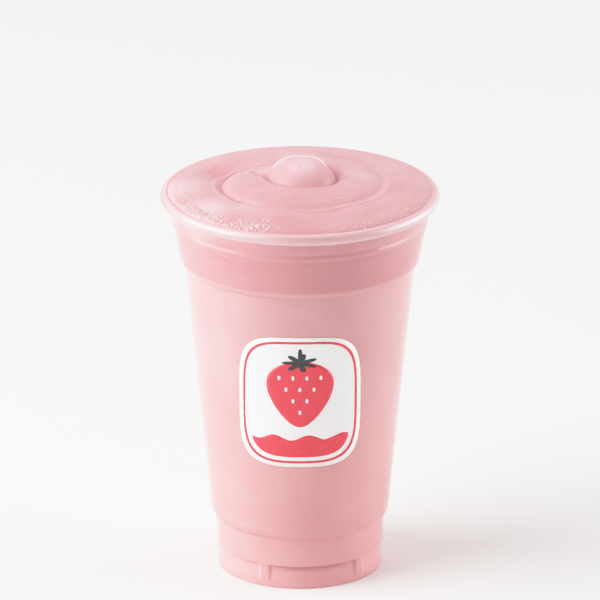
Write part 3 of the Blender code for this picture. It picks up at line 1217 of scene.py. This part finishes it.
@dataclass
class FruitFlecks:
    """Specks of strawberry skin and seed in the mound, and at the wall."""

    fill: SmoothieFill
    seed: int = 21
    detail: int = 1
    on_mound: int = 36
    on_knob: int = 10
    at_wall: int = 70
    smallest: float = 0.12 * MM
    largest: float = 0.28 * MM
    length: Pair = (1.0, 1.7)
    width: Pair = (0.6, 1.0)
    thickness: float = 0.35
    mound_reach: float = 43.0 * MM
    knob_spread: float = 5.5 * MM
    wall_reach: Pair = (11.0 * MM, 134.0 * MM)

    def build(self, finish: Material) -> None:
        """Builds the specks of the mound and those at the wall, as one mesh each.

        Args:
            finish: the specks'.
        """
        draw = np.random.default_rng(self.seed)
        for name, places in (("mound_flecks", self.top(draw)), ("wall_flecks", self.side(draw))):
            add_piece(name, balls_mesh(self.detail, places), finish)

    def top(self, draw: np.random.Generator) -> list[Matrix]:
        """Places specks over the mound, and more of them on the knob's right.

        Args:
            draw: the seeded source of random numbers.

        Returns:
            One matrix for each speck.
        """
        radius = self.mound_reach * np.sqrt(draw.random(self.on_mound))
        angle = draw.random(self.on_mound) * math.tau
        knob_x, knob_y = self.fill.swirl.knob_centre
        right = knob_x + abs(draw.normal(0, self.knob_spread, self.on_knob))
        behind = knob_y + draw.normal(0, self.knob_spread, self.on_knob)
        x = np.concatenate([radius * np.cos(angle), right])
        y = np.concatenate([radius * np.sin(angle), behind])
        z = self.fill.swirl.height(x, y)
        return [self.speck(draw, Vector(p), Vector((0.0, 0.0, 1.0))) for p in zip(x, y, z)]

    def side(self, draw: np.random.Generator) -> list[Matrix]:
        """Places specks at the wall, under the plastic.

        Args:
            draw: the seeded source of random numbers.

        Returns:
            One matrix for each speck.
        """
        heights = draw.uniform(*self.wall_reach, self.at_wall)
        places = []
        for height, angle in zip(heights, draw.random(self.at_wall) * math.tau):
            out = Vector((math.cos(angle), math.sin(angle), 0.0))
            place = out * self.fill.wall_radius(height) + Vector((0.0, 0.0, height))
            places.append(self.speck(draw, place, out))
        return places

    def speck(self, draw: np.random.Generator, place: Vector, out: Vector) -> Matrix:
        """Gives one speck a size, a turn and a flatness.

        Args:
            draw: the seeded source of random numbers.
            place: the speck's middle.
            out: the way that its flat side faces.

        Returns:
            The matrix that makes it from a ball of radius 1.
        """
        size = self.smallest + (self.largest - self.smallest) * draw.random() ** 2
        facing = out.to_track_quat("Z", "Y").to_matrix().to_4x4()
        turn = facing @ Matrix.Rotation(draw.random() * math.tau, 4, "Z")
        along, across = size * draw.uniform(*self.length), size * draw.uniform(*self.width)
        stretch = Matrix.Diagonal((along, across, size * self.thickness, 1.0))
        return Matrix.Translation(place) @ turn @ stretch


# The print


@dataclass
class FrontPrint:
    """A generic print on the cup's front: a strawberry over a wave, on a white field with a thin frame."""

    outline: CupOutline
    middle: float = 73.0 * MM
    field_half: Pair = (22.5 * MM, 25.0 * MM)
    field_power: float = 4.0
    frame_gap: float = 1.5 * MM
    frame_width: float = 0.9 * MM
    inner_gap: float = 1.5 * MM
    berry_middle: float = 3.2 * MM
    berry_half: Pair = (15.6 * MM, 12.6 * MM)
    berry_taper: Pair = (0.72, 0.28)
    leaf_reach: Pair = (2.6 * MM, 6.4 * MM)
    leaves: int = 7
    leaf_sharpness: float = 1.6
    leaf_flatness: float = 0.55
    leaf_drop: float = 0.4 * MM
    stem_half: Pair = (0.75 * MM, 2.7 * MM)
    stem_power: float = 2.5
    stem_columns: int = 32
    seed_half: Pair = (0.5 * MM, 0.85 * MM)
    seed_power: float = 2.0
    seed_columns: int = 24
    seed_top: float = 0.5
    seed_rows: int = 4
    seed_pitch: Pair = (4.9 * MM, 4.4 * MM)
    wave_top: float = -13.6 * MM
    wave_rise: float = 1.0 * MM
    wave_length: float = 12.5 * MM
    columns: int = 144
    rings: int = 10
    small_rings: int = 3
    under: float = 0.05 * MM
    ink: float = 0.035 * MM

    def on_wall(self, flat: np.ndarray, lift: float) -> np.ndarray:
        """Wraps flat points round the cup's front.

        Args:
            flat: points as [.., (right, up)] from the print's middle.
            lift: how far outside the wall they lie.

        Returns:
            The points as [.., xyz].
        """
        height = self.middle + flat[..., 1]
        wall = between(height, self.outline.outer_wall)
        angle = flat[..., 0] / wall - math.pi / 2.0
        return np.stack([(wall + lift) * np.cos(angle), (wall + lift) * np.sin(angle), height], axis=-1)

    def turns(self, count: int) -> tuple[np.ndarray, np.ndarray]:
        """The cosine and sine of evenly spaced turns, once round."""
        turn = np.linspace(0.0, math.tau, count, endpoint=False)
        return np.cos(turn), np.sin(turn)

    def oval(self, half: Pair, power: float, count: int, middle: Pair = (0.0, 0.0)) -> np.ndarray:
        """The outline of an oval, squarer with a higher power, as rows of (right, up)."""
        sides = [np.sign(way) * np.abs(way) ** (2 / power) for way in self.turns(count)]
        return np.stack(sides, -1) * np.array(half) + np.array(middle)

    def field_oval(self, gap: float) -> np.ndarray:
        """The outline of the field, a gap inside its edge."""
        return self.oval(self.inside_field(gap), self.field_power, self.columns)

    def inside_field(self, gap: float) -> Pair:
        """Half the width and height of the field, a gap inside its edge."""
        return self.field_half[0] - gap, self.field_half[1] - gap

    def patch(self, edge: np.ndarray, centre: Pair, layer: int, rings: int | None = None) -> Mesh:
        """Makes a thin plate of ink within an outline.

        Args:
            edge: the outline, as rows of (right, up).
            centre: a point that sees the whole outline.
            layer: 1 for ink on the cup, 2 for ink on that ink, and so on.
            rings: the number of rings from the outline to the centre.

        Returns:
            The plate's mesh.
        """
        middle = np.array(centre)
        share = np.linspace(0.0, 1.0, (rings or self.rings) + 1)[1:]
        flat = middle + (edge - middle)[None] * share[:, None, None]
        faces = [self.on_wall(flat, -self.under), self.on_wall(flat[::-1], self.ink * layer)]
        poles = [self.on_wall(middle, lift).tolist() for lift in (-self.under, self.ink * layer)]
        return grid_mesh(np.concatenate(faces), poles)

    def ring(self, outer: np.ndarray, inner: np.ndarray, layer: int) -> Mesh:
        """Makes a thin frame of ink between two outlines.

        Args:
            outer: the outer outline, as rows of (right, up).
            inner: the inner outline.
            layer: 1 for ink on the cup, 2 for ink on that ink, and so on.

        Returns:
            The frame's mesh.
        """
        across = np.stack([outer, (outer + inner) / 2.0, inner])
        faces = [self.on_wall(across, -self.under), self.on_wall(across[::-1], self.ink * layer)]
        return grid_mesh(np.concatenate(faces))

    def berry(self) -> np.ndarray:
        """The strawberry's outline: broad shoulders and a rounded tip.

        Returns:
            Rows of (right, up).
        """
        up, across = self.turns(self.columns)
        across = across * (self.berry_taper[0] + self.berry_taper[1] * up)
        return np.stack([across * self.berry_half[0], up * self.berry_half[1] + self.berry_middle], -1)

    def crown(self) -> tuple[np.ndarray, Pair]:
        """The strawberry's leaves.

        Returns:
            Their outline, as rows of (right, up), and their middle.
        """
        turn = np.linspace(0.0, math.tau, self.columns * 2, endpoint=False)
        near, far = self.leaf_reach
        reach = near + (far - near) * np.abs(np.sin(turn * self.leaves / 2.0)) ** self.leaf_sharpness
        centre = (0.0, self.berry_middle + self.berry_half[1] - self.leaf_drop)
        shape = np.stack([np.cos(turn) * reach, np.sin(turn) * reach * self.leaf_flatness], -1)
        return shape + np.array(centre), centre

    def wave(self) -> tuple[np.ndarray, Pair]:
        """The red wave at the field's foot.

        Returns:
            Its outline, as rows of (right, up), and its middle.
        """
        half = self.inside_field(self.frame_gap + self.frame_width + self.inner_gap)
        power = self.field_power
        reach = half[0] * (1.0 - (abs(self.wave_top) / half[1]) ** power) ** (1.0 / power)
        across = np.linspace(-reach, reach, self.columns)
        top = self.wave_top + self.wave_rise * np.sin(across / self.wave_length * math.tau)
        below = across[::-1][1:-1]
        bottom = -half[1] * (1.0 - (np.abs(below) / half[0]) ** power) ** (1.0 / power)
        edge = np.concatenate([np.stack([across, top], -1), np.stack([below, bottom], -1)])
        return edge, (0.0, (self.wave_top - half[1]) / 2.0)

    def seeds(self) -> list[Mesh]:
        """The strawberry's seeds, in rows that grow shorter downwards.

        Returns:
            One mesh for each seed.
        """
        made = []
        for row in range(self.seed_rows):
            count = self.seed_rows - row
            up = self.berry_middle + self.berry_half[1] * self.seed_top - row * self.seed_pitch[1]
            for i in range(count):
                centre = ((i - (count - 1) / 2.0) * self.seed_pitch[0], up)
                edge = self.oval(self.seed_half, self.seed_power, self.seed_columns, centre)
                made.append(self.patch(edge, centre, 3, self.small_rings))
        return made

    def build(self, white: Material, red: Material, dark: Material) -> None:
        """Builds the print's white field, its red and dark shapes and its white seeds.

        Args:
            white: the ink of the field and the seeds.
            red: the ink of the frame, the wave and the strawberry.
            dark: the ink of the leaves and the stem.
        """
        frame_edges = self.field_oval(self.frame_gap), self.field_oval(self.frame_gap + self.frame_width)
        crown, crown_middle = self.crown()
        stem_middle = (0.0, crown_middle[1] + self.stem_half[1])
        stem = self.oval(self.stem_half, self.stem_power, self.stem_columns, stem_middle)
        inks = {Slot.WHITE_PRINT: white, Slot.RED_PRINT: red, Slot.DARK_PRINT: dark}
        shapes = [
            ("field", self.patch(self.field_oval(0.0), (0.0, 0.0), 1), Slot.WHITE_PRINT),
            ("frame", self.ring(*frame_edges, 2), Slot.RED_PRINT),
            ("wave", self.patch(*self.wave(), 2), Slot.RED_PRINT),
            ("berry", self.patch(self.berry(), (0.0, self.berry_middle), 2), Slot.RED_PRINT),
            ("leaves", self.patch(crown, crown_middle, 3), Slot.DARK_PRINT),
            ("stem", self.patch(stem, stem_middle, 4, self.small_rings), Slot.DARK_PRINT),
        ]
        shapes += [(f"seed_{i + 1}", mesh, Slot.WHITE_PRINT) for i, mesh in enumerate(self.seeds())]
        for name, mesh, slot in shapes:
            add_piece("print_" + name, mesh, inks[slot])


# The studio


def aim(thing: Object, target: Vector, azimuth: float, elevation: float, distance: float) -> None:
    """Stands a light or camera off from a target and turns it to face it.

    Args:
        thing: the light or camera.
        target: the point that it faces.
        azimuth: degrees from the front, to the right.
        elevation: degrees up.
        distance: how far off it stands.
    """
    turn, lift = math.radians(azimuth), math.radians(elevation)
    away = Vector((math.sin(turn) * math.cos(lift), -math.cos(turn) * math.cos(lift), math.sin(lift)))
    thing.location = target + away * distance
    thing.rotation_euler = away.to_track_quat("Z", "Y").to_euler()


@dataclass(frozen=True)
class SoftBox:
    """A soft rectangular light that faces the cup."""

    name: str
    azimuth: float
    elevation: float
    distance: float
    width: float
    height: float
    radiance: float

    def build(self, target: Vector) -> None:
        """Adds the light.

        Args:
            target: the point that it faces.
        """
        lamp = bpy.data.lights.new(self.name, "AREA")
        lamp.shape = "RECTANGLE"
        lamp.size = self.width
        lamp.size_y = self.height
        lamp.energy = self.radiance * math.pi * self.width * self.height
        aim(add_object(self.name, lamp), target, self.azimuth, self.elevation, self.distance)


@dataclass
class Studio:
    """Pale floor, soft lights and the camera at the photograph's angle."""

    target: Vector = field(default_factory=lambda: Vector((0.0, 0.0, 98.0 * MM)))
    distance: float = 3.4
    pitch: float = 20.0
    lens: float = 579.8
    sensor: float = 36.0
    sight: float = 60.0
    floor_radius: float = 12.0
    floor_segments: int = 96
    floor_gap: float = 0.05 * MM
    room_dim: float = 0.03
    room_bright: float = 0.68
    dim_from: float = 0.1
    dim_way: Triple = (0.35, -0.937, 0.0)
    boxes: Sequence[SoftBox] = (
        SoftBox("left_low", -76.0, 10.0, 1.3, 1.2, 1.2, 2.35),
        SoftBox("left_high", -76.0, 38.0, 1.3, 1.2, 1.2, 4.3),
        SoftBox("right_low", 97.0, 10.0, 1.3, 1.2, 1.2, 4.1),
        SoftBox("back_low", 180.0, 22.0, 1.4, 1.5, 0.8, 0.35),
    )
    shoulder: Knots = (
        (0.3, 0.3), (0.6, 0.6), (0.8, 0.765), (1.0, 0.87),
        (1.3, 0.945), (1.7, 0.98), (2.4, 0.997), (4.0, 1.0),
    )

    def build(self, floor_finish: Material) -> None:
        """Adds the floor, the lights and the camera, and sets how bright values are shown.

        Args:
            floor_finish: the floor's.
        """
        self.add_floor(floor_finish)
        for box in self.boxes:
            box.build(self.target)
        self.add_world()
        self.add_camera()
        self.set_view()

    def set_view(self) -> None:
        """Sets a plain view whose brightest values level off softly."""
        view = bpy.context.scene.view_settings
        view.view_transform = "Standard"
        view.use_curve_mapping = True
        view.curve_mapping.use_clip = False
        for curve in view.curve_mapping.curves[:3]:
            curve.points[-1].location = self.shoulder[-1]
            for knot in self.shoulder[:-1]:
                curve.points.new(*knot)
        view.curve_mapping.update()

    def add_floor(self, finish: Material) -> None:
        """Adds the floor, just under the foot.

        Args:
            finish: the floor's.
        """
        bm = bmesh.new()
        sizes = {"segments": self.floor_segments, "radius": self.floor_radius}
        bmesh.ops.create_circle(bm, cap_ends=True, cap_tris=True, **sizes)
        mesh = bpy.data.meshes.new("floor")
        bm.to_mesh(mesh)
        bm.free()
        mesh.materials.append(finish)
        floor = add_object("floor", mesh)
        floor.location.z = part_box("cup")[0].z - self.floor_gap

    def add_world(self) -> None:
        """Adds the soft light of a pale room, dimmest in front and to the right."""
        world = bpy.data.worlds.new("pale_room")
        world.use_nodes = True
        sheet = NodeSheet(world.node_tree)
        facing = sheet.vector("DOT_PRODUCT", sheet.add("TexCoord").outputs["Generated"], self.dim_way)
        span = {"From_Min": self.dim_from, "From_Max": 1.0}
        fall = {"To_Min": self.room_bright, "To_Max": self.room_dim}
        strength = sheet.add("MapRange", Value=facing, **span, **fall).outputs[0]
        sheet.feed(world.node_tree.nodes["Background"], Color=WHITE, Strength=strength)
        bpy.context.scene.world = world

    def add_camera(self) -> None:
        """Adds the camera: a long lens that looks down on the cup's front."""
        lens = bpy.data.cameras.new("camera")
        lens.lens = self.lens
        lens.sensor_width = self.sensor
        lens.clip_end = self.sight
        camera = add_object("camera", lens)
        aim(camera, self.target, 0.0, self.pitch, self.distance)
        bpy.context.scene.camera = camera


def main() -> None:
    """Builds the studio, the cup, the drink with its froth and flecks, and the print, in that order."""
    logging.basicConfig(level=logging.INFO, format="%(message)s")
    Studio().build(PALE_FLOOR.material())
    outline = CupOutline.from_frame()
    swirl = Swirl()
    ClearCup(outline).build(ClearPlastic().material())
    fill = SmoothieFill(outline, swirl)
    fill.build(BlendedDrink().material())
    RimFroth(swirl).build(WET_FROTH.material())
    FruitFlecks(fill).build(FRUIT_FLECK.material())
    FrontPrint(outline).build(WHITE_INK.material(), RED_INK.material(), DARK_INK.material())


if __name__ == "__main__":
    main()
